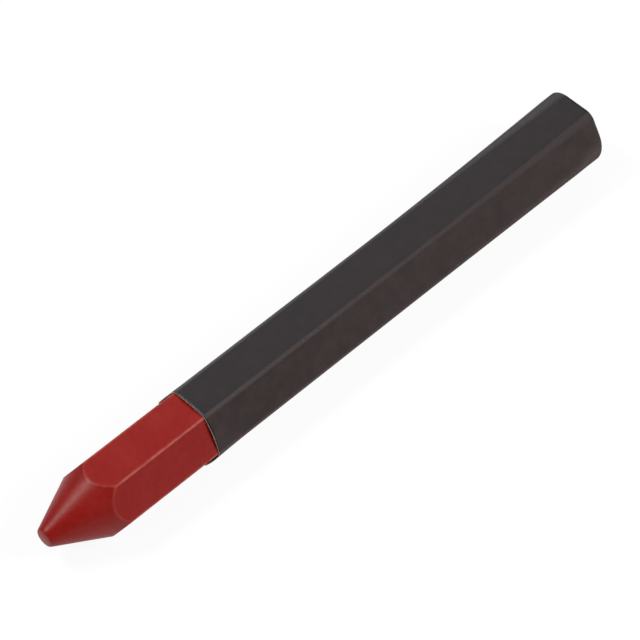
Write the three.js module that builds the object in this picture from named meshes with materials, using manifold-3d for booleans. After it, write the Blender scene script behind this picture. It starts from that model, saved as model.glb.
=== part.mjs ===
// Hexagonal marking crayon: a wax stick with a turned point, loose in a rolled paper sleeve.
// Millimetres, +Z up. The crayon lies on one flat along X, its point towards -X.
import * as THREE from 'three';
import { mergeVertices } from 'three/addons/utils/BufferGeometryUtils.js';
import Module from 'manifold-3d';

const wasm = await Module();
wasm.setup();

// Wax stick
const STICK_ACROSS_FLATS = 12;
const STICK_CORNER_RADIUS = 0.45;
const EXPOSED_LENGTH = 30.4;
const BUTT_CHAMFER = 0.6;

// Turned point, cut a little off the stick's axis: to its rear side, below it and leaning
const POINT_END_DIAMETER = 3.4;
const POINT_EDGE_RADIUS = 0.35;
const POINT_HALF_ANGLE = 25.5;
const POINT_OFFSET = 0.55;
const POINT_DROP = 0.25;
const POINT_LEAN = -1.6;

// Paper sleeve: one sheet rolled round the stick, its outer edge lapped over the inner one
const SLEEVE_LENGTH = 89.6;
const PAPER_THICKNESS = 0.14;
const SLEEVE_CLEARANCE = 0.08;
const CREASE_CLEARANCE = 0.04;
const CREASE_RADIUS = 0.8;
const BUTT_RECESS = 6;
const OVERHANG_EASE = 0.8;
const MOUTH_EASE_LENGTH = 7;
const MOUTH_SLANT = 0.2;
const REAR_FLARE_LENGTH = 44;

// Lap seam on the lower rear face, and its strip of glue
const LAP_WIDTH = 3.6;
const LAP_EDGE_TO_CREASE = 0.35;
const LAP_STEP_GAP = 0.1;
const GLUE_THICKNESS = 0.06;
const GLUE_SKIN_GAP = 0.02;
const GLUE_SIDE_MARGIN = 0.4;

// How far each sleeve face stands off, and how round the crease after it is, at the two open ends.
// The mouth is slightly sprung open and bowed. The rear end has sprung rounder, most of all where no
// stick fills it.
const SLEEVE_FACES = [
  { angle: -30, mouthSpread: 0, mouthBow: 0, rearSpread: 0.4, mouthCrease: 0.8, rearCrease: 1.2 },
  { angle: 30, mouthSpread: 0, mouthBow: 0.05, rearSpread: 0.83, mouthCrease: 0.95, rearCrease: 4 },
  { angle: 90, mouthSpread: 0.05, mouthBow: 0.18, rearSpread: 0.8, mouthCrease: 1, rearCrease: 1.95 },
  { angle: 150, mouthSpread: 0.05, mouthBow: 0.32, rearSpread: 0.47, mouthCrease: 1.6, rearCrease: 6.2 },
  { angle: 210, mouthSpread: 0.15, mouthBow: 0.1, rearSpread: 0.2, mouthCrease: 0.8, rearCrease: 0.8 },
  { angle: 270, mouthSpread: 0, mouthBow: 0, rearSpread: 0, mouthCrease: 0.8, rearCrease: 0.8 },
];

// Fineness of the curved surfaces
const POINT_SEGMENTS = 84;
const POINT_EDGE_STEPS = 3;
const STICK_CORNER_STEPS = 2;
const CREASE_STEPS = 3;
const FACE_STEPS = 4;
const MOUTH_STEPS = 4;
const FLARE_STEPS = 5;
const OVERHANG_STEPS = 3;

const TIP_X = -(EXPOSED_LENGTH + SLEEVE_LENGTH) / 2;
const MOUTH_X = TIP_X + EXPOSED_LENGTH;
const REAR_X = MOUTH_X + SLEEVE_LENGTH;
const BUTT_X = REAR_X - BUTT_RECESS;

const STICK_APOTHEM = STICK_ACROSS_FLATS / 2;
const BORE_APOTHEM = STICK_APOTHEM + SLEEVE_CLEARANCE;
const AXIS_Z = BORE_APOTHEM + PAPER_THICKNESS;
const HALF_CORNER = Math.PI / 6;
const STICK_CORNER_REACH = cornerReach(STICK_APOTHEM, STICK_CORNER_RADIUS);
const LAP_LIFT = PAPER_THICKNESS + GLUE_THICKNESS + 2 * GLUE_SKIN_GAP;
const LAP_OUTER_EDGE = (BORE_APOTHEM - CREASE_RADIUS) * Math.tan(HALF_CORNER) - LAP_EDGE_TO_CREASE;
const LAP_INNER_EDGE = LAP_OUTER_EDGE - LAP_WIDTH;

// Distance from the axis to the outermost point of a rounded hexagon's corner
function cornerReach(apothem, radius) {
  return (apothem - radius) / Math.cos(HALF_CORNER) + radius;
}

function toSolid(geometry) {
  geometry.deleteAttribute('normal');
  geometry.deleteAttribute('uv');
  const merged = mergeVertices(geometry, 1e-4);
  const corners = merged.index.array;
  const triangles = [];
  for (let i = 0; i < corners.length; i += 3) {
    const [a, b, c] = [corners[i], corners[i + 1], corners[i + 2]];
    if (a !== b && b !== c && c !== a) triangles.push(a, b, c);
  }
  return new wasm.Manifold(new wasm.Mesh({
    numProp: 3,
    vertProperties: new Float32Array(merged.attributes.position.array),
    triVerts: new Uint32Array(triangles),
  }));
}

function toGeometry(solid) {
  const mesh = solid.getMesh();
  const geometry = new THREE.BufferGeometry();
  geometry.setAttribute('position', new THREE.BufferAttribute(mesh.vertProperties, 3));
  geometry.setIndex(new THREE.BufferAttribute(mesh.triVerts, 1));
  return geometry;
}

function namedMesh(name, geometry, color, roughness) {
  const material = new THREE.MeshStandardMaterial({ color, roughness, metalness: 0 });
  const mesh = new THREE.Mesh(geometry, material);
  mesh.name = name;
  return mesh;
}

// The stick's section, a hexagon with rounded corners and flats at top and bottom
function stickSection() {
  const shape = new THREE.Shape();
  const distance = cornerReach(STICK_APOTHEM, STICK_CORNER_RADIUS) - STICK_CORNER_RADIUS;
  for (const { angle } of SLEEVE_FACES) {
    const face = THREE.MathUtils.degToRad(angle);
    const corner = face + HALF_CORNER;
    const x = distance * Math.cos(corner);
    const y = distance * Math.sin(corner);
    shape.absarc(x, y, STICK_CORNER_RADIUS, face, corner + HALF_CORNER, false);
  }
  shape.closePath();
  return shape;
}

// What the turning of the point leaves, wide behind the cone so that the flats stay whole
function pointEnvelope() {
  const slope = THREE.MathUtils.degToRad(POINT_HALF_ANGLE);
  const edgeCentre = POINT_END_DIAMETER / 2 - POINT_EDGE_RADIUS;
  const profile = [new THREE.Vector2(0, 0)];
  for (let step = 0; step <= POINT_EDGE_STEPS; step += 1) {
    const turn = (step / POINT_EDGE_STEPS) * (Math.PI / 2 - slope);
    const radius = edgeCentre + POINT_EDGE_RADIUS * Math.sin(turn);
    profile.push(new THREE.Vector2(radius, POINT_EDGE_RADIUS * (1 - Math.cos(turn))));
  }
  const coneStart = profile[profile.length - 1];
  const wideRadius = STICK_ACROSS_FLATS;
  const wideStart = coneStart.y + (wideRadius - coneStart.x) / Math.tan(slope);
  const wideEnd = BUTT_X - TIP_X + STICK_ACROSS_FLATS;
  profile.push(new THREE.Vector2(wideRadius, wideStart));
  profile.push(new THREE.Vector2(wideRadius, wideEnd));
  profile.push(new THREE.Vector2(0, wideEnd));
  const geometry = new THREE.LatheGeometry(profile, POINT_SEGMENTS);
  geometry.rotateZ(-Math.PI / 2 + THREE.MathUtils.degToRad(POINT_LEAN));
  geometry.translate(TIP_X, POINT_OFFSET, -POINT_DROP);
  return geometry;
}

// A cylinder whose rear edge is the butt's chamfer
function buttEnvelope() {
  const wideRadius = STICK_ACROSS_FLATS;
  const buttRadius = STICK_CORNER_REACH - BUTT_CHAMFER;
  const profile = [
    new THREE.Vector2(0, TIP_X - STICK_APOTHEM),
    new THREE.Vector2(wideRadius, TIP_X - STICK_APOTHEM),
    new THREE.Vector2(wideRadius, BUTT_X - (wideRadius - buttRadius)),
    new THREE.Vector2(buttRadius, BUTT_X),
    new THREE.Vector2(0, BUTT_X),
  ];
  const geometry = new THREE.LatheGeometry(profile, POINT_SEGMENTS);
  geometry.rotateZ(-Math.PI / 2);
  return geometry;
}

// A hexagonal bar, longer than the stick, turned down to the point and the chamfered butt
function makeWaxStick() {
  const bar = new THREE.ExtrudeGeometry(stickSection(), {
    depth: BUTT_X - TIP_X + STICK_APOTHEM,
    bevelEnabled: false,
    curveSegments: STICK_CORNER_STEPS,
  });
  bar.rotateX(Math.PI / 2);
  bar.rotateZ(Math.PI / 2);
  bar.translate(TIP_X, 0, 0);
  const turned = toSolid(bar).intersect(toSolid(pointEnvelope())).intersect(toSolid(buttEnvelope()));
  const geometry = toGeometry(turned);
  geometry.translate(0, 0, AXIS_Z);
  return namedMesh('wax_stick', geometry, 0x8c2422, 0.55);
}

// One section of the sleeve: how far each end's opening reaches it, and how far it is past the stick,
// each from 0 to 1
function stationAt(x) {
  const toMouth = Math.max(0, 1 - (x - MOUTH_X) / MOUTH_EASE_LENGTH);
  const toRear = Math.max(0, 1 - (REAR_X - x) / REAR_FLARE_LENGTH);
  const overhang = Math.max(0, (x - BUTT_X) / BUTT_RECESS);
  return { x, mouth: toMouth ** 2, rear: toRear ** 1.6, overhang };
}

function sleeveStations() {
  const stations = [];
  const addRun = (from, to, steps) => {
    for (let step = 0; step < steps; step += 1) stations.push(stationAt(from + (step / steps) * (to - from)));
  };
  addRun(MOUTH_X, MOUTH_X + MOUTH_EASE_LENGTH, MOUTH_STEPS);
  addRun(MOUTH_X + MOUTH_EASE_LENGTH, REAR_X - REAR_FLARE_LENGTH, 1);
  addRun(REAR_X - REAR_FLARE_LENGTH, BUTT_X, FLARE_STEPS);
  addRun(BUTT_X, REAR_X, OVERHANG_STEPS);
  stations.push(stationAt(REAR_X));
  return stations;
}

function faceAt(index, { mouth, rear, overhang }) {
  const face = SLEEVE_FACES[index % SLEEVE_FACES.length];
  const angle = THREE.MathUtils.degToRad(face.angle);
  return {
    normal: new THREE.Vector2(Math.cos(angle), Math.sin(angle)),
    apothem: BORE_APOTHEM + mouth * face.mouthSpread + rear * face.rearSpread,
    bow: mouth * face.mouthBow,
    creaseRadius: CREASE_RADIUS + mouth * (face.mouthCrease - CREASE_RADIUS)
      + rear * (face.rearCrease - CREASE_RADIUS),
    freeReach: STICK_CORNER_REACH + CREASE_CLEARANCE - overhang * OVERHANG_EASE,
  };
}

// The crease between a face and the next one, no rounder than what clears the stick's corner
function creaseBetween(face, next) {
  const meanApothem = (face.apothem + next.apothem) / 2;
  const spare = cornerReach(meanApothem, 0) - face.freeReach;
  const radius = Math.min(face.creaseRadius, spare / (1 / Math.cos(HALF_CORNER) - 1));
  const outward = face.normal.clone().add(next.normal).normalize();
  const sideways = next.normal.clone().sub(face.normal).normalize();
  const centre = outward.multiplyScalar((meanApothem - radius) / Math.cos(HALF_CORNER));
  centre.addScaledVector(sideways, (next.apothem - face.apothem) / (2 * Math.sin(HALF_CORNER)));
  return { centre, radius };
}

// A point of the section on the lap face, with the outward direction there
function pointOnLap(station, across, lift) {
  const { normal, apothem } = faceAt(0, station);
  const sideways = new THREE.Vector2(-normal.y, normal.x);
  const point = normal.clone().multiplyScalar(apothem + lift).addScaledVector(sideways, across);
  return { point, normal };
}

// The inner skin of the sheet at one station, from its inner edge round to its lapped outer edge.
// Each entry is a point of the section and the outward direction there.
function sheetPath(station) {
  const path = [pointOnLap(station, LAP_INNER_EDGE, 0)];
  for (let index = 0; index < SLEEVE_FACES.length; index += 1) {
    const face = faceAt(index, station);
    const next = faceAt(index + 1, station);
    const { centre, radius } = creaseBetween(face, next);
    const flatEnd = centre.clone().addScaledVector(face.normal, radius);
    const flatStart = path[path.length - 1].point;
    const interior = index === 0 ? 0 : FACE_STEPS - 1;
    for (let step = 1; step <= interior; step += 1) {
      const share = step / FACE_STEPS;
      const point = flatStart.clone().lerp(flatEnd, share);
      point.addScaledVector(face.normal, face.bow * Math.sin(Math.PI * share));
      path.push({ point, normal: face.normal });
    }
    for (let step = 0; step <= CREASE_STEPS; step += 1) {
      const turn = (step / CREASE_STEPS) * 2 * HALF_CORNER;
      const normal = face.normal.clone().rotateAround(new THREE.Vector2(), turn);
      path.push({ point: centre.clone().addScaledVector(normal, radius), normal });
    }
  }
  path.push(pointOnLap(station, LAP_INNER_EDGE - LAP_STEP_GAP, LAP_LIFT));
  path.push(pointOnLap(station, LAP_OUTER_EDGE, LAP_LIFT));
  return path;
}

// A sheet that follows one path at each station, as one closed body with its edges and cut ends
function sheetBody(stations, pathAt, thickness) {
  const positions = [];
  let pathLength = 0;
  for (const station of stations) {
    const path = pathAt(station);
    pathLength = path.length;
    const outer = path.map(({ point, normal }) => point.clone().addScaledVector(normal, thickness));
    const inner = path.map(({ point }) => point).reverse();
    for (const { x, y } of [...outer, ...inner]) {
      positions.push(station.x + station.mouth * MOUTH_SLANT * (y / STICK_APOTHEM), x, y + AXIS_Z);
    }
  }
  const ringLength = 2 * pathLength;
  const triangles = [];
  const addQuad = (a, b, c, d) => triangles.push(a, b, c, a, c, d);
  for (let ring = 0; ring < stations.length - 1; ring += 1) {
    const here = ring * ringLength;
    const ahead = here + ringLength;
    for (let i = 0; i < ringLength; i += 1) {
      const j = (i + 1) % ringLength;
      addQuad(here + i, here + j, ahead + j, ahead + i);
    }
  }
  const rearRing = (stations.length - 1) * ringLength;
  for (let i = 0; i < pathLength - 1; i += 1) {
    const opposite = ringLength - 1 - i;
    addQuad(opposite, opposite - 1, i + 1, i);
    addQuad(rearRing + i, rearRing + i + 1, rearRing + opposite - 1, rearRing + opposite);
  }
  const geometry = new THREE.BufferGeometry();
  geometry.setAttribute('position', new THREE.Float32BufferAttribute(positions, 3));
  geometry.setIndex(triangles);
  return geometry;
}

function makePaperSleeve() {
  const geometry = sheetBody(sleeveStations(), sheetPath, PAPER_THICKNESS);
  return namedMesh('paper_sleeve', geometry, 0x3d3a3a, 0.6);
}

// The strip of glue between the two layers of the lap, which stops short of both cut ends
function makeSeamGlue() {
  const lift = PAPER_THICKNESS + GLUE_SKIN_GAP;
  const gluePath = (station) => [
    pointOnLap(station, LAP_INNER_EDGE + GLUE_SIDE_MARGIN, lift),
    pointOnLap(station, LAP_OUTER_EDGE - GLUE_SIDE_MARGIN, lift),
  ];
  const geometry = sheetBody(sleeveStations().slice(1, -1), gluePath, GLUE_THICKNESS);
  return namedMesh('seam_glue', geometry, 0xb9ad94, 0.4);
}

const crayon = new THREE.Group();
crayon.add(makeWaxStick(), makePaperSleeve(), makeSeamGlue());

// The origin is the middle of the footprint, so the front's wider spread moves the axis a little
const footprint = new THREE.Box3().setFromObject(crayon);
crayon.position.y = -(footprint.min.y + footprint.max.y) / 2;

export default crayon;
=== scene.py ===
import math
import bpy
import bmesh
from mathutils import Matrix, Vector, noise


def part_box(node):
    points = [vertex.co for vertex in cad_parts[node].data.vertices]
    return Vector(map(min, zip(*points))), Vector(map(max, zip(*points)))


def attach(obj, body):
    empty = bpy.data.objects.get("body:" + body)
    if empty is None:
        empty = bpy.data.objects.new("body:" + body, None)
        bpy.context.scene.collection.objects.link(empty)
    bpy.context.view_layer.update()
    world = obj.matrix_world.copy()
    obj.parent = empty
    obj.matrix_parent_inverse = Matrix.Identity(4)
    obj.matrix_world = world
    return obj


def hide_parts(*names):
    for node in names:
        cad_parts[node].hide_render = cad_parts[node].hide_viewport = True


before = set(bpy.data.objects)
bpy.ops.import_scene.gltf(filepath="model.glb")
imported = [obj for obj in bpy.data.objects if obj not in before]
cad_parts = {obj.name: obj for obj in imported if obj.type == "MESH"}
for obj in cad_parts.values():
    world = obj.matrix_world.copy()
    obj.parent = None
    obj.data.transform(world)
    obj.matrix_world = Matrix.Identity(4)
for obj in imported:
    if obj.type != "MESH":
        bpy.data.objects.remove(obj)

scene = bpy.context.scene
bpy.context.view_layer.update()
mm = 0.001
halfCorner = math.pi / 6     # half the angle between neighbouring faces of the hexagon


# The camera stands half a metre off, over the point of the crayon, and looks down its length
cameraView = {
    "distance": 549.9 * mm,
    "azimuth": 44.72,        # degrees from square on, towards the point
    "elevation": 51.70,      # degrees above the table
    "pixelFocal": 3395.4,    # focal length in pixels of the 640 pixel picture
    "pictureWidth": 640,
    "sensorWidth": 36,       # millimetres
    "aimRight": -0.30 * mm,  # the picture's centre, seen from the middle of the stick's axis
    "aimUp": 0.85 * mm,
}


def makeCamera(view):
    azimuth = math.radians(view["azimuth"])
    elevation = math.radians(view["elevation"])
    away = Vector((-math.sin(azimuth) * math.cos(elevation),
                   -math.cos(azimuth) * math.cos(elevation),
                   math.sin(elevation)))
    right = (-away).cross(Vector((0, 0, 1))).normalized()
    up = right.cross(-away)
    stickLow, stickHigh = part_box("wax_stick")
    middle = Vector((0, (stickLow.y + stickHigh.y) / 2, (stickLow.z + stickHigh.z) / 2))
    aim = middle + right * view["aimRight"] + up * view["aimUp"]
    data = bpy.data.cameras.new("camera")
    data.sensor_width = view["sensorWidth"]
    data.lens = view["pixelFocal"] * data.sensor_width / view["pictureWidth"]
    camera = bpy.data.objects.new("camera", data)
    camera.location = aim + away * view["distance"]
    camera.rotation_euler = away.to_track_quat("Z", "Y").to_euler()
    scene.collection.objects.link(camera)
    scene.camera = camera


makeCamera(cameraView)
print("camera ready")


def linearColor(hexColor):
    channels = [int(hexColor[i:i + 2], 16) / 255 for i in (1, 3, 5)]
    linear = [c / 12.92 if c <= 0.04045 else ((c + 0.055) / 1.055) ** 2.4 for c in channels]
    return (*linear, 1)


def addNode(tree, kind, links=None, **settings):
    # One node: its settings, then its inputs as values or as sockets to link
    node = tree.nodes.new(kind)
    for name, value in settings.items():
        setattr(node, name, value)
    for name, value in (links or {}).items():
        if isinstance(value, bpy.types.NodeSocket):
            tree.links.new(value, node.inputs[name])
        else:
            node.inputs[name].default_value = value
    return node


def newMaterial(name):
    material = bpy.data.materials.new(name)
    material.use_nodes = True
    tree = material.node_tree
    shader = next(n for n in tree.nodes if n.type == "BSDF_PRINCIPLED")
    return material, tree, shader


def finishMesh(bm, name):
    mesh = bpy.data.meshes.new(name)
    bm.to_mesh(mesh)
    bm.free()
    for polygon in mesh.polygons:
        polygon.use_smooth = True
    piece = bpy.data.objects.new(name, mesh)
    scene.collection.objects.link(piece)
    return piece


# Floor, backdrop and lights: a white table, with a backdrop that is white just above the horizon
studio = {
    "floorSize": 2.4,
    "floorColor": "#f2f2f2",
    "floorRoughness": 0.6,
    "floorGlow": 0.92,         # share of the floor that is seen as pure white
    "mirroredShare": 0.40,     # how much of the white background the crayon's gloss mirrors
    "plainLevel": 0.18,        # the dim light that comes from all round
    "backdropTop": 0.22,       # sine of the elevation at which the white backdrop has faded out
}


def seenDirectly(tree, mirroredShare):
    # 1 for camera rays, and the given share for what glossy and clear surfaces show
    path = addNode(tree, "ShaderNodeLightPath")
    mirrored = addNode(tree, "ShaderNodeMath", {0: path.outputs["Is Glossy Ray"],
                                                1: path.outputs["Is Transmission Ray"]},
                       operation="MAXIMUM")
    part = addNode(tree, "ShaderNodeMath", {0: mirrored.outputs[0], 1: mirroredShare},
                   operation="MULTIPLY")
    seen = addNode(tree, "ShaderNodeMath", {0: path.outputs["Is Camera Ray"], 1: part.outputs[0]},
                   operation="MAXIMUM")
    return seen.outputs[0]


def makeFloor(values):
    bm = bmesh.new()
    bmesh.ops.create_grid(bm, x_segments=1, y_segments=1, size=values["floorSize"] / 2)
    floor = finishMesh(bm, "table")
    material, tree, shader = newMaterial("whiteTable")
    shader.inputs["Base Color"].default_value = linearColor(values["floorColor"])
    shader.inputs["Roughness"].default_value = values["floorRoughness"]
    glow = addNode(tree, "ShaderNodeEmission", {"Color": (1, 1, 1, 1), "Strength": 1})
    seen = seenDirectly(tree, values["mirroredShare"])
    share = addNode(tree, "ShaderNodeMath", {0: seen, 1: values["floorGlow"]}, operation="MULTIPLY")
    mix = addNode(tree, "ShaderNodeMixShader", {0: share.outputs[0], 1: shader.outputs[0],
                                                2: glow.outputs[0]})
    output = next(n for n in tree.nodes if n.type == "OUTPUT_MATERIAL")
    tree.links.new(mix.outputs[0], output.inputs["Surface"])
    floor.data.materials.append(material)


def makeWorld(values):
    world = bpy.data.worlds.new("studio")
    world.use_nodes = True
    tree = world.node_tree
    background = next(n for n in tree.nodes if n.type == "BACKGROUND")
    direction = addNode(tree, "ShaderNodeTexCoord").outputs["Generated"]
    height = addNode(tree, "ShaderNodeSeparateXYZ", {0: direction})
    backdrop = addNode(tree, "ShaderNodeMapRange", {"Value": height.outputs["Z"],
                                                    "From Min": values["backdropTop"] / 2,
                                                    "From Max": values["backdropTop"],
                                                    "To Min": 1.0, "To Max": values["plainLevel"]})
    seen = seenDirectly(tree, values["mirroredShare"])
    level = addNode(tree, "ShaderNodeMix", {0: seen, 2: values["plainLevel"],
                                            3: backdrop.outputs[0]}, data_type="FLOAT")
    background.inputs["Color"].default_value = (1, 1, 1, 1)
    tree.links.new(level.outputs[0], background.inputs["Strength"])
    scene.world = world


# Soft boxes: the way to each from the crayon, its distance and size in metres, its power in watts
lamps = [
    {"name": "overheadBox", "towards": (-0.37, 0.43, 0.82), "distance": 0.8,
     "width": 0.24, "height": 0.18, "power": 4.3},
    {"name": "frontBox", "towards": (0.42, -0.62, 0.66), "distance": 0.8,
     "width": 0.32, "height": 0.32, "power": 5.0},
    {"name": "rearBox", "towards": (0.46, 0.50, 0.73), "distance": 0.6,
     "width": 0.30, "height": 0.30, "power": 0.4},
]


def makeLamp(values):
    data = bpy.data.lights.new(values["name"], "AREA")
    data.shape = "RECTANGLE"
    data.size = values["width"]
    data.size_y = values["height"]
    data.energy = values["power"]
    lamp = bpy.data.objects.new(values["name"], data)
    towards = Vector(values["towards"]).normalized()
    lamp.location = towards * values["distance"]
    lamp.rotation_euler = towards.to_track_quat("Z", "Y").to_euler()
    scene.collection.objects.link(lamp)


makeFloor(studio)
makeWorld(studio)
for lampValues in lamps:
    makeLamp(lampValues)
scene.view_settings.view_transform = "Standard"
print("studio ready")


# Wax stick: a hexagonal bar whose end is turned to a blunt cone
wax = {
    "cornerRadius": 0.45 * mm,
    "tipRadius": 1.70 * mm,
    "tipRounding": 0.35 * mm,
    "tipDome": 0.12 * mm,         # how far the tip's rim is rubbed back behind its middle
    "domeLength": 0.5 * mm,
    "coneHalfAngle": 25.5,        # degrees
    "coneOffset": 0.55 * mm,      # the cone's axis lies this far to the side at the tip
    "coneDrop": 0.25 * mm,        # and this far below the bar's axis
    "coneLean": 1.6,              # degrees, back towards the bar's axis
    "turnedOnly": 1.0 * mm,       # up to here the turning has left nothing of the bar's faces
    "scallopRounding": 0.18 * mm,
    "buttChamfer": 0.60 * mm,
    "scallopPaintedHighlight": 0.5,           # shares of the pale colour: a painted highlight along the scallops
    "scallopHighlightWidth": 0.10 * mm,
    "ridgeSharpness": 22,         # wear and a painted highlight along the bar's corners, where a higher power is narrower
    "cornerHeight": 0.14,         # and where a corner stands out by this share of the apothem
    "tipWear": 0.28,              # and wear on the flat of the tip
    "tipWearLength": 0.2 * mm,
    "unevenness": 0.020 * mm,
    "unevenSize": 7 * mm,
    "roundSteps": 360,
    "discSteps": 6,
    "mergeDistance": 0.01 * mm,
    # Rings along the bar: up to each distance from the tip, and how far apart
    "rings": [(0.4 * mm, 0.04 * mm), (12.5 * mm, 0.13 * mm), (32 * mm, 0.35 * mm)],
    "coarseRings": 40,
}


def hexRadius(angle, apothem, cornerRadius):
    # Distance from the axis to a rounded hexagon's side, with flats at top and bottom
    fromFlat = (angle - halfCorner) % (2 * halfCorner)
    fromFlat = min(fromFlat, 2 * halfCorner - fromFlat)
    if (apothem - cornerRadius) * math.tan(halfCorner) >= apothem * math.tan(fromFlat):
        return apothem / math.cos(fromFlat)
    centre = (apothem - cornerRadius) / math.cos(halfCorner)
    fromCorner = halfCorner - fromFlat
    across = centre * math.sin(fromCorner)
    return centre * math.cos(fromCorner) + math.sqrt(cornerRadius ** 2 - across ** 2)


def coneRadius(along, angle, values):
    # Distance from the bar's axis to the turned surface, whose own axis is a little off
    slope = math.tan(math.radians(values["coneHalfAngle"]))
    rounding = values["tipRounding"]
    roundEnd = rounding * (1 - math.cos(math.pi / 2 - math.atan(slope)))
    disc = values["tipRadius"] - rounding
    if along < roundEnd:
        own = disc + math.sqrt(max(0, rounding ** 2 - (rounding - along) ** 2))
    else:
        own = disc + rounding * math.cos(math.atan(slope)) + (along - roundEnd) * slope
    side = values["coneOffset"] - along * math.tan(math.radians(values["coneLean"]))
    drop = values["coneDrop"]
    shift = side * math.cos(angle) - drop * math.sin(angle)
    return shift + math.sqrt(max(0, own ** 2 - side ** 2 - drop ** 2 + shift ** 2))


def smoothLower(a, b, rounding):
    # The lower of two radii, with the edge where they cross slightly rounded
    blend = min(1, max(0, 0.5 + 0.5 * (b - a) / rounding))
    return b + (a - b) * blend - rounding * blend * (1 - blend) / 2


def waxStations(length, values):
    # Distances from the tip: fine over the cone and its scallops, wider along the bar
    stations = [0.0]
    place = 0.0
    for reach, spacing in values["rings"]:
        while place < reach:
            place += spacing
            stations.append(place)
    last = length - values["buttChamfer"]
    coarse = values["coarseRings"]
    stations += [place + (last - place) * step / coarse for step in range(1, coarse + 1)]
    return stations + [length - values["buttChamfer"] / 2, length]


def makeWaxStick(values):
    low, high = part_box("wax_stick")
    apothem = (high.z - low.z) / 2
    axisY = (low.y + high.y) / 2
    axisZ = (low.z + high.z) / 2
    stations = waxStations(high.x - low.x, values)
    discSteps = values["discSteps"]
    profile = [(0.0, step / discSteps) for step in range(discSteps)]
    profile += [(place, 1.0) for place in stations]
    profile += [(stations[-1], 1 - step / discSteps) for step in range(1, discSteps + 1)]
    bm = bmesh.new()
    points = [bm.verts.new((place, 0, share)) for place, share in profile]
    edges = [bm.edges.new(pair) for pair in zip(points, points[1:])]
    bmesh.ops.spin(bm, geom=points + edges, cent=(0, 0, 0), axis=(1, 0, 0), angle=2 * math.pi,
                   steps=values["roundSteps"], use_merge=True)
    bmesh.ops.remove_doubles(bm, verts=bm.verts, dist=values["mergeDistance"])
    wearAndHighlight = bm.verts.layers.float.new("edgeWearAndHighlight")
    buttStart = high.x - low.x - values["buttChamfer"]
    for vertex in bm.verts:
        along = vertex.co.x
        angle = math.atan2(vertex.co.z, vertex.co.y)
        share = math.hypot(vertex.co.y, vertex.co.z)
        bar = hexRadius(angle, apothem, values["cornerRadius"])
        turned = coneRadius(along, angle, values)
        pastTip = along > values["turnedOnly"]
        radius = smoothLower(bar, turned, values["scallopRounding"]) if pastTip else turned
        if along > buttStart:
            corner = hexRadius(0, apothem, values["cornerRadius"])
            radius = min(radius, corner - (along - buttStart))
        # pale edges: wear and a painted highlight along the corners and scallops, and wear on the flat
        # of the tip
        cornerFade = max(0, bar / apothem - 1) / values["cornerHeight"]
        ridgeWearAndHighlight = cornerFade ** values["ridgeSharpness"] if turned > bar else 0
        scallopHighlightMask = values["scallopPaintedHighlight"] * math.exp(-((turned - bar) / values["scallopHighlightWidth"]) ** 2)
        onTip = max(0, 1 - along / values["tipWearLength"])
        onSkin = share > 0.999
        vertex[wearAndHighlight] = min(1, ridgeWearAndHighlight + scallopHighlightMask) if pastTip and onSkin else values["tipWear"] * onTip
        place = Vector((along, radius * math.cos(angle), radius * math.sin(angle)))
        uneven = noise.noise(place / values["unevenSize"]) * values["unevenness"]
        radius = share * (radius - abs(uneven))
        worn = values["tipDome"] * share ** 2 * max(0, 1 - along / values["domeLength"])
        vertex.co = (low.x + along + worn, axisY + radius * math.cos(angle),
                     axisZ + radius * math.sin(angle))
    bmesh.ops.recalc_face_normals(bm, faces=bm.faces)
    return finishMesh(bm, "turned_wax_stick")


# Paper sleeve: a flat sheet, creased six times and rolled round the stick with a lap. Its creases are
# smoother than the solid's facets, so they are also a little rounder, to stay inside the solid's box.
sleeve = {
    "paper": 0.14 * mm,
    "clearance": 0.08 * mm,       # between the stick's faces and the sheet
    "creaseClearance": 0.012 * mm,
    "creaseRadius": 0.94 * mm,
    "stickCorner": 0.45 * mm,     # the bar that it is rolled round
    "stickApothem": 6.0 * mm,
    "mouthEase": 7.0 * mm,        # the length over which the mouth opens
    "mouthSlant": 0.20 * mm,
    "rimInset": 0.005 * mm,
    "rearFlare": 44.0 * mm,       # and over which the rear end springs open
    "flarePower": 1.6,
    "overhang": 6.0 * mm,         # the sleeve's length behind the stick, where its creases are free
    "overhangEase": 0.8 * mm,
    "lapWidth": 3.6 * mm,
    "lapToCrease": 0.35 * mm,
    "lapStep": 0.10 * mm,
    "lapLift": 0.24 * mm,
    "columns": 180,
    "flatSteps": 10,
    "creaseSteps": 8,
    "wearAndHighlightFade": 0.35,             # the pale crease wear and its painted highlight fade towards the rear
    "wearAndHighlightFadeLength": 62 * mm,
    "frontFall": 6,               # how fast the painted sheen ends where the sheet turns down to the front
    "rearFall": 1.5,              # and to the rear, where it reaches further
    "ripple": 0.020 * mm,         # the upper faces stand up a little here and there
    "rippleSize": 9 * mm,
    # For each face from the lapped lower rear one, over the top and round: its direction in degrees,
    # the millimetres that it stands off at mouth and rear end and bows at the mouth, and the crease
    # after it: its radius in millimetres at both ends, and how worn it is, which also sets its painted
    # highlight
    "faces": [
        {"angle": -30, "mouth": 0, "rear": 0.38, "bow": 0,
         "mouthCrease": 0.8, "rearCrease": 1.2, "worn": 1.0},
        {"angle": 30, "mouth": 0, "rear": 0.80, "bow": 0.05,
         "mouthCrease": 0.95, "rearCrease": 4.0, "worn": 1.7},
        {"angle": 90, "mouth": 0.05, "rear": 0.78, "bow": 0.18,
         "mouthCrease": 1.0, "rearCrease": 1.95, "worn": 0.85},
        {"angle": 150, "mouth": 0.05, "rear": 0.45, "bow": 0.32,
         "mouthCrease": 1.68, "rearCrease": 6.2, "worn": 1.3},
        {"angle": 210, "mouth": 0.15, "rear": 0.18, "bow": 0.1,
         "mouthCrease": 0.8, "rearCrease": 0.8, "worn": 1.0},
        {"angle": 270, "mouth": 0, "rear": 0, "bow": 0,
         "mouthCrease": 0.8, "rearCrease": 0.8, "worn": 1.0},
    ],
}


def cornerReach(apothem, radius):
    return (apothem - radius) / math.cos(halfCorner) + radius


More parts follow.
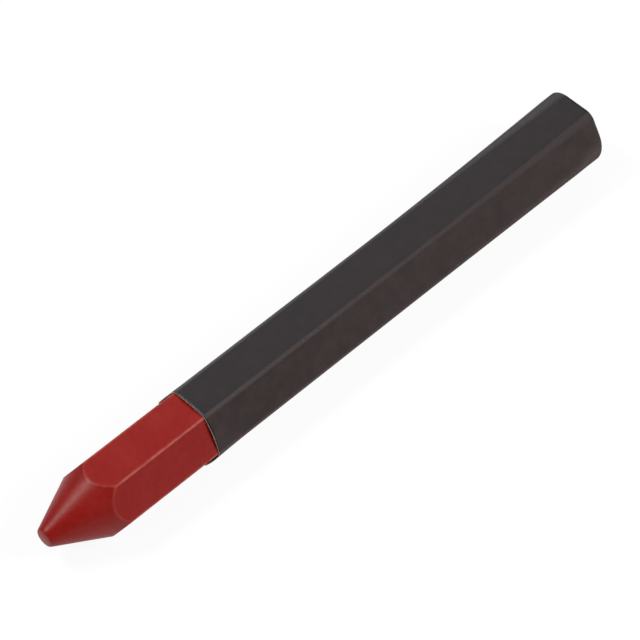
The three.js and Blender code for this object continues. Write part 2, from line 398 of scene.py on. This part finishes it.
def stationAt(place, length, values):
    # How much each end's opening counts at this place along the sleeve, and being past the stick
    return {
        "mouth": max(0, 1 - place / values["mouthEase"]) ** 2,
        "rear": max(0, 1 - (length - place) / values["rearFlare"]) ** values["flarePower"],
        "past": max(0, 1 - (length - place) / values["overhang"]),
    }


def faceAt(index, station, values):
    mouth, rear = station["mouth"], station["rear"]
    face = values["faces"][index % 6]
    angle = math.radians(face["angle"])
    crease = values["creaseRadius"]
    return {
        "normal": Vector((math.cos(angle), math.sin(angle))),
        "apothem": values["stickApothem"] + values["clearance"]
        + (mouth * face["mouth"] + rear * face["rear"]) * mm,
        "bow": mouth * face["bow"] * mm,
        "crease": crease + mouth * (face["mouthCrease"] * mm - crease)
        + rear * (face["rearCrease"] * mm - crease),
        "reach": cornerReach(values["stickApothem"], values["stickCorner"])
        + values["creaseClearance"] - station["past"] * values["overhangEase"],
    }


def creaseBetween(face, following):
    # The crease's centre and radius: as round as asked, unless that would cut into the stick's corner
    mean = (face["apothem"] + following["apothem"]) / 2
    spare = cornerReach(mean, 0) - face["reach"]
    radius = min(face["crease"], spare / (1 / math.cos(halfCorner) - 1))
    outward = (face["normal"] + following["normal"]).normalized()
    sideways = (following["normal"] - face["normal"]).normalized()
    centre = outward * ((mean - radius) / math.cos(halfCorner))
    centre += sideways * ((following["apothem"] - face["apothem"]) / (2 * math.sin(halfCorner)))
    return centre, radius


def sheetPath(station, values):
    # The rolled sheet's section from its inner edge round to its lapped outer edge, and its wear there
    lap = faceAt(0, station, values)
    acrossLap = Vector((-lap["normal"].y, lap["normal"].x))
    bore = values["stickApothem"] + values["clearance"]
    outerEdge = (bore - values["creaseRadius"]) * math.tan(halfCorner) - values["lapToCrease"]
    innerEdge = outerEdge - values["lapWidth"]
    path = [lap["normal"] * lap["apothem"] + acrossLap * innerEdge]
    worn = [0.0]
    for index in range(6):
        face = faceAt(index, station, values)
        following = faceAt(index + 1, station, values)
        centre, radius = creaseBetween(face, following)
        flatStart = path[-1].copy()
        flatEnd = centre + face["normal"] * radius
        for step in range(1, values["flatSteps"]):
            share = step / values["flatSteps"]
            bow = face["bow"] * math.sin(math.pi * share) if index else 0
            path.append(flatStart.lerp(flatEnd, share) + face["normal"] * bow)
            worn.append(0.0)
        base = math.radians(values["faces"][index]["angle"])
        for step in range(values["creaseSteps"] + 1):
            turn = base + 2 * halfCorner * step / values["creaseSteps"]
            path.append(centre + Vector((math.cos(turn), math.sin(turn))) * radius)
            # the pale crease colour, rubbed-off ink with a painted highlight, peaks at the middle of
            # each crease
            folded = math.sin(math.pi * step / values["creaseSteps"])
            worn.append(values["faces"][index]["worn"] * folded)
    lifted = lap["apothem"] + values["lapLift"]
    flatStart = path[-1].copy()
    stepEnd = lap["normal"] * lifted + acrossLap * (innerEdge - values["lapStep"])
    for step in range(1, values["flatSteps"] + 1):
        share = step / values["flatSteps"]
        path.append(flatStart.lerp(stepEnd, share))
        worn.append(0.0)
    flatEnd = lap["normal"] * lifted + acrossLap * outerEdge
    for step in range(1, values["flatSteps"] + 1):
        path.append(stepEnd.lerp(flatEnd, step / values["flatSteps"]))
        worn.append(0.0)
    return path, worn


def makeSleeve(values):
    low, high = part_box("paper_sleeve")
    stickLow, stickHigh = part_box("wax_stick")
    axisY = (stickLow.y + stickHigh.y) / 2
    axisZ = values["stickApothem"] + values["clearance"] + values["paper"]
    mouthX = low.x + values["mouthSlant"] * axisZ / values["stickApothem"]
    length = high.x - values["rimInset"] - mouthX
    rows = len(sheetPath(stationAt(0, length, values), values)[0]) - 1
    columns = values["columns"]
    bm = bmesh.new()
    bmesh.ops.create_grid(bm, x_segments=columns, y_segments=rows, size=1)
    paintedSheenMask = bm.verts.layers.float.new("paintedSheenMask")
    crease = bm.verts.layers.float.new("crease")
    wearAndHighlight = bm.verts.layers.float.new("creaseWearAndHighlight")
    byColumn = {}
    for vertex in bm.verts:
        column = round((vertex.co.x + 1) / 2 * columns)
        row = round((vertex.co.y + 1) / 2 * rows)
        byColumn.setdefault(column, []).append((row, vertex))
    for column, entries in byColumn.items():
        place = length * column / columns
        station = stationAt(place, length, values)
        path, worn = sheetPath(station, values)
        # the pale crease wear and painted highlight fade along the sleeve, strongest at the mouth
        wearAndHighlightAlong = 1 - values["wearAndHighlightFade"] * min(1, place / values["wearAndHighlightFadeLength"])
        for row, vertex in entries:
            point = path[row]
            up = max(0, point.y / values["stickApothem"])
            ripple = noise.noise(Vector((place, point.x, point.y)) / values["rippleSize"])
            grown = 1 + up * abs(ripple) * values["ripple"] / values["stickApothem"]
            vertex[crease] = min(1, worn[row])
            vertex[wearAndHighlight] = worn[row] * wearAndHighlightAlong
            slant = station["mouth"] * values["mouthSlant"] * point.y / values["stickApothem"]
            vertex.co = (mouthX + place + slant, axisY + point.x * grown, axisZ + point.y * grown)
    bm.normal_update()
    axis = Vector((0, axisY, axisZ))
    outward = sum(face.normal.dot(face.calc_center_median() - axis) for face in bm.faces)
    if outward < 0:
        bmesh.ops.reverse_faces(bm, faces=bm.faces)
        bm.normal_update()
    # painted sheen mask: how much each point faces up, falling off faster towards the front
    for vertex in bm.verts:
        fall = values["rearFall"] if vertex.normal.y > 0 else values["frontFall"]
        vertex[paintedSheenMask] = max(0, vertex.normal.z) ** fall
    piece = finishMesh(bm, "rolled_paper_sleeve")
    wall = piece.modifiers.new("paper", "SOLIDIFY")
    wall.thickness = values["paper"]
    wall.offset = 1
    wall.use_even_offset = True
    wall.use_rim = True
    wall.material_offset = 1         # bare paper inside
    wall.material_offset_rim = 2     # and the cut edge round the rims
    return piece


# Moulded marking wax, coloured through: a soft satin skin with a faint pale bloom, a fine grain, and
# pale worn edges that carry a painted highlight too.
# Each pattern's range is the part of its noise that goes from none to all of its share.
waxFinish = {
    "color": "#82100b",
    "pale": "#8f2a22",
    # the pale edge colour: wear, and a painted highlight along the corners and scallops
    "worn": "#a04a42",
    "dark": "#6e0c08",
    "bloomSize": 5 * mm,
    "bloomRange": (0.45, 0.75),
    "bloomShare": 0.35,
    "mottleSize": 1.1 * mm,
    "mottleRange": (0.5, 0.75),
    "mottleShare": 0.8,
    "chipSize": 0.9 * mm,         # length of the breaks in the pale worn and highlighted edge
    "chipRange": (0.35, 0.6),
    "chipShare": (0.3, 0.8),
    "grainSize": 0.35 * mm,       # coarser than the mould's real grain, which would be too fine to show
    "grainRange": (0.3, 0.7),
    "grainDepth": 0.010 * mm,
    "roughness": (0.34, 0.47),
    "ior": 1.44,
    "gloss": 0.28,
    "glossTint": "#fff0ee",
    "glow": 0.08,                 # share of the light that comes back out of the wax
    "glowDepth": 0.8 * mm,
    "glowColor": (1.0, 0.2, 0.15),    # red light goes deepest
}


def makeWaxMaterial(values):
    material, tree, shader = newMaterial("mouldedWax")
    place = addNode(tree, "ShaderNodeTexCoord").outputs["Object"]
    bloom = addNode(tree, "ShaderNodeTexNoise", {"Vector": place, "Scale": 1 / values["bloomSize"],
                                                 "Detail": 5, "Roughness": 0.6})
    bloomShare = addNode(tree, "ShaderNodeMapRange", {"Value": bloom.outputs[0],
                                                      "From Min": values["bloomRange"][0],
                                                      "From Max": values["bloomRange"][1],
                                                      "To Max": values["bloomShare"]})
    skin = addNode(tree, "ShaderNodeMix", {"Factor": bloomShare.outputs[0],
                                           6: linearColor(values["color"]),
                                           7: linearColor(values["pale"])}, data_type="RGBA")
    mottle = addNode(tree, "ShaderNodeTexNoise", {"Vector": place, "Scale": 1 / values["mottleSize"],
                                                  "Detail": 6, "Roughness": 0.7})
    mottleShare = addNode(tree, "ShaderNodeMapRange", {"Value": mottle.outputs[0],
                                                       "From Min": values["mottleRange"][0],
                                                       "From Max": values["mottleRange"][1],
                                                       "To Max": values["mottleShare"]})
    mottled = addNode(tree, "ShaderNodeMix", {"Factor": mottleShare.outputs[0], 6: skin.outputs[2],
                                              7: linearColor(values["dark"])}, data_type="RGBA")
    # pale edges: wear with a painted highlight, broken up into chips
    edge = addNode(tree, "ShaderNodeAttribute", attribute_name="edgeWearAndHighlight")
    chips = addNode(tree, "ShaderNodeTexNoise", {"Vector": place, "Scale": 1 / values["chipSize"],
                                                 "Detail": 3})
    chipShare = addNode(tree, "ShaderNodeMapRange", {"Value": chips.outputs[0],
                                                     "From Min": values["chipRange"][0],
                                                     "From Max": values["chipRange"][1],
                                                     "To Min": values["chipShare"][0],
                                                     "To Max": values["chipShare"][1]})
    edgeWearAndHighlightShare = addNode(tree, "ShaderNodeMath", {0: edge.outputs["Fac"], 1: chipShare.outputs[0]},
                        operation="MULTIPLY")
    worn = addNode(tree, "ShaderNodeMix", {"Factor": edgeWearAndHighlightShare.outputs[0], 6: mottled.outputs[2],
                                           7: linearColor(values["worn"])}, data_type="RGBA")
    tree.links.new(worn.outputs[2], shader.inputs["Base Color"])
    grain = addNode(tree, "ShaderNodeTexNoise", {"Vector": place, "Scale": 1 / values["grainSize"],
                                                 "Detail": 4, "Roughness": 0.6})
    rough = addNode(tree, "ShaderNodeMapRange", {"Value": grain.outputs[0],
                                                 "From Min": values["grainRange"][0],
                                                 "From Max": values["grainRange"][1],
                                                 "To Min": values["roughness"][0],
                                                 "To Max": values["roughness"][1]})
    tree.links.new(rough.outputs[0], shader.inputs["Roughness"])
    bump = addNode(tree, "ShaderNodeBump", {"Height": grain.outputs[0],
                                            "Distance": values["grainDepth"]})
    tree.links.new(bump.outputs[0], shader.inputs["Normal"])
    shader.inputs["IOR"].default_value = values["ior"]
    shader.inputs["Specular IOR Level"].default_value = values["gloss"]
    shader.inputs["Specular Tint"].default_value = linearColor(values["glossTint"])
    shader.inputs["Subsurface Weight"].default_value = values["glow"]
    shader.inputs["Subsurface Radius"].default_value = values["glowColor"]
    shader.inputs["Subsurface Scale"].default_value = values["glowDepth"]
    return material


# Machine coated label paper, inked dark all over: a smooth satin film that wears pale on the creases,
# where the pale also stands as a painted highlight, and with a painted cooler sheen on the faces that
# lie up
coatedFinish = {
    "ink": "#221514",
    "thinInk": "#2c201f",
    "paintedSheenInk": "#1c262b",        # painted sheen: the face that lies up is tinted a little cooler, as the light from above shows it
    "paintedSheenShare": 0.3,
    "worn": "#5f5350",            # the paper where the ink is rubbed off a crease, pale enough to stand as a painted crease highlight too
    # painted sheen on the pale creases of the faces that lie up
    "paintedSheenWorn": "#5a5a5c",
    "wornRange": (0.1, 0.8),
    "wornShare": 0.7,
    "mottleSize": 2.5 * mm,
    "mottleRange": (0.35, 0.65),
    "fibreSize": 0.20 * mm,       # coarser than real fibres, which would be too fine to show
    "fibreDepth": 0.006 * mm,
    "roughness": (0.38, 0.48),
    "roughnessRange": (0.3, 0.7),
    "creaseRoughness": 0.45,      # added where the coat is cracked along a crease
    "gloss": 0.28,
}


def makeCoatedPaper(values):
    material, tree, shader = newMaterial("printedCoatedPaper")
    place = addNode(tree, "ShaderNodeTexCoord").outputs["Object"]
    mottle = addNode(tree, "ShaderNodeTexNoise", {"Vector": place, "Scale": 1 / values["mottleSize"],
                                                  "Detail": 6, "Roughness": 0.65})
    mottleShare = addNode(tree, "ShaderNodeMapRange", {"Value": mottle.outputs[0],
                                                       "From Min": values["mottleRange"][0],
                                                       "From Max": values["mottleRange"][1]})
    printed = addNode(tree, "ShaderNodeMix", {"Factor": mottleShare.outputs[0],
                                              6: linearColor(values["ink"]),
                                              7: linearColor(values["thinInk"])}, data_type="RGBA")
    # painted sheen: the faces that lie up are tinted cooler, as the light from above shows them
    paintedSheenMask = addNode(tree, "ShaderNodeAttribute", attribute_name="paintedSheenMask")
    paintedSheenShare = addNode(tree, "ShaderNodeMath", {0: paintedSheenMask.outputs["Fac"], 1: values["paintedSheenShare"]},
                     operation="MULTIPLY")
    paintedSheenPrint = addNode(tree, "ShaderNodeMix", {"Factor": paintedSheenShare.outputs[0], 6: printed.outputs[2],
                                            7: linearColor(values["paintedSheenInk"])}, data_type="RGBA")
    fibre = addNode(tree, "ShaderNodeTexNoise", {"Vector": place, "Scale": 1 / values["fibreSize"],
                                                 "Detail": 4, "Roughness": 0.6})
    # pale creases: ink rubbed off, with a painted highlight along them
    wearAndHighlight = addNode(tree, "ShaderNodeAttribute", attribute_name="creaseWearAndHighlight")
    scuffAndHighlight = addNode(tree, "ShaderNodeMath", {0: wearAndHighlight.outputs["Fac"], 1: fibre.outputs[0]},
                      operation="MULTIPLY")
    scuffAndHighlightShare = addNode(tree, "ShaderNodeMapRange", {"Value": scuffAndHighlight.outputs[0],
                                                      "From Min": values["wornRange"][0],
                                                      "From Max": values["wornRange"][1],
                                                      "To Max": values["wornShare"]})
    stock = addNode(tree, "ShaderNodeMix", {"Factor": paintedSheenMask.outputs["Fac"],
                                            6: linearColor(values["worn"]),
                                            7: linearColor(values["paintedSheenWorn"])}, data_type="RGBA")
    worn = addNode(tree, "ShaderNodeMix", {"Factor": scuffAndHighlightShare.outputs[0], 6: paintedSheenPrint.outputs[2],
                                           7: stock.outputs[2]}, data_type="RGBA")
    tree.links.new(worn.outputs[2], shader.inputs["Base Color"])
    rough = addNode(tree, "ShaderNodeMapRange", {"Value": mottle.outputs[0],
                                                 "From Min": values["roughnessRange"][0],
                                                 "From Max": values["roughnessRange"][1],
                                                 "To Min": values["roughness"][0],
                                                 "To Max": values["roughness"][1]})
    crease = addNode(tree, "ShaderNodeAttribute", attribute_name="crease")
    scuffedRough = addNode(tree, "ShaderNodeMath", {0: crease.outputs["Fac"],
                                                    1: values["creaseRoughness"],
                                                    2: rough.outputs[0]}, operation="MULTIPLY_ADD")
    tree.links.new(scuffedRough.outputs[0], shader.inputs["Roughness"])
    bump = addNode(tree, "ShaderNodeBump", {"Height": fibre.outputs[0],
                                            "Distance": values["fibreDepth"]})
    tree.links.new(bump.outputs[0], shader.inputs["Normal"])
    shader.inputs["Specular IOR Level"].default_value = values["gloss"]
    return material


# Bare paper: the uncoated inner side, and the cut edge that shows the stock between its two skins
bareFinish = {
    "inner": ("#8d837a", "#a1978d"),
    "edge": ("#b7a79c", "#cdbfb4"),
    "fibreSize": 0.25 * mm,       # drawn coarse for the same reason
    "fibreDepth": 0.020 * mm,
    "roughness": 0.85,
}


def makeBarePaper(name, colors, values):
    material, tree, shader = newMaterial(name)
    place = addNode(tree, "ShaderNodeTexCoord").outputs["Object"]
    fibre = addNode(tree, "ShaderNodeTexNoise", {"Vector": place, "Scale": 1 / values["fibreSize"],
                                                 "Detail": 5, "Roughness": 0.65})
    stock = addNode(tree, "ShaderNodeMix", {"Factor": fibre.outputs[0], 6: linearColor(colors[0]),
                                            7: linearColor(colors[1])}, data_type="RGBA")
    tree.links.new(stock.outputs[2], shader.inputs["Base Color"])
    shader.inputs["Roughness"].default_value = values["roughness"]
    bump = addNode(tree, "ShaderNodeBump", {"Height": fibre.outputs[0],
                                            "Distance": values["fibreDepth"]})
    tree.links.new(bump.outputs[0], shader.inputs["Normal"])
    return material


# Dried seam glue: a thin amber film with a slightly uneven gloss
glueFinish = {
    "colors": ("#a58a5c", "#c4ad82"),
    "patchSize": 1.5 * mm,
    "roughness": (0.2, 0.4),
}


def makeGlueMaterial(values):
    material, tree, shader = newMaterial("driedGlue")
    place = addNode(tree, "ShaderNodeTexCoord").outputs["Object"]
    patch = addNode(tree, "ShaderNodeTexNoise", {"Vector": place, "Scale": 1 / values["patchSize"],
                                                 "Detail": 4})
    film = addNode(tree, "ShaderNodeMix", {"Factor": patch.outputs[0],
                                           6: linearColor(values["colors"][0]),
                                           7: linearColor(values["colors"][1])}, data_type="RGBA")
    tree.links.new(film.outputs[2], shader.inputs["Base Color"])
    rough = addNode(tree, "ShaderNodeMapRange", {"Value": patch.outputs[0],
                                                 "To Min": values["roughness"][0],
                                                 "To Max": values["roughness"][1]})
    tree.links.new(rough.outputs[0], shader.inputs["Roughness"])
    return material


print("wax stick")
waxStick = makeWaxStick(wax)
waxStick.data.materials.append(makeWaxMaterial(waxFinish))
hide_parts("wax_stick")
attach(waxStick, "stick")

print("paper sleeve")
paperSleeve = makeSleeve(sleeve)
paperSleeve.data.materials.append(makeCoatedPaper(coatedFinish))
paperSleeve.data.materials.append(makeBarePaper("bareInnerPaper", bareFinish["inner"], bareFinish))
paperSleeve.data.materials.append(makeBarePaper("cutPaperEdge", bareFinish["edge"], bareFinish))
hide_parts("paper_sleeve")
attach(paperSleeve, "sleeve")

print("seam glue")
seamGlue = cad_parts["seam_glue"]
seamGlue.data.materials.clear()
seamGlue.data.materials.append(makeGlueMaterial(glueFinish))
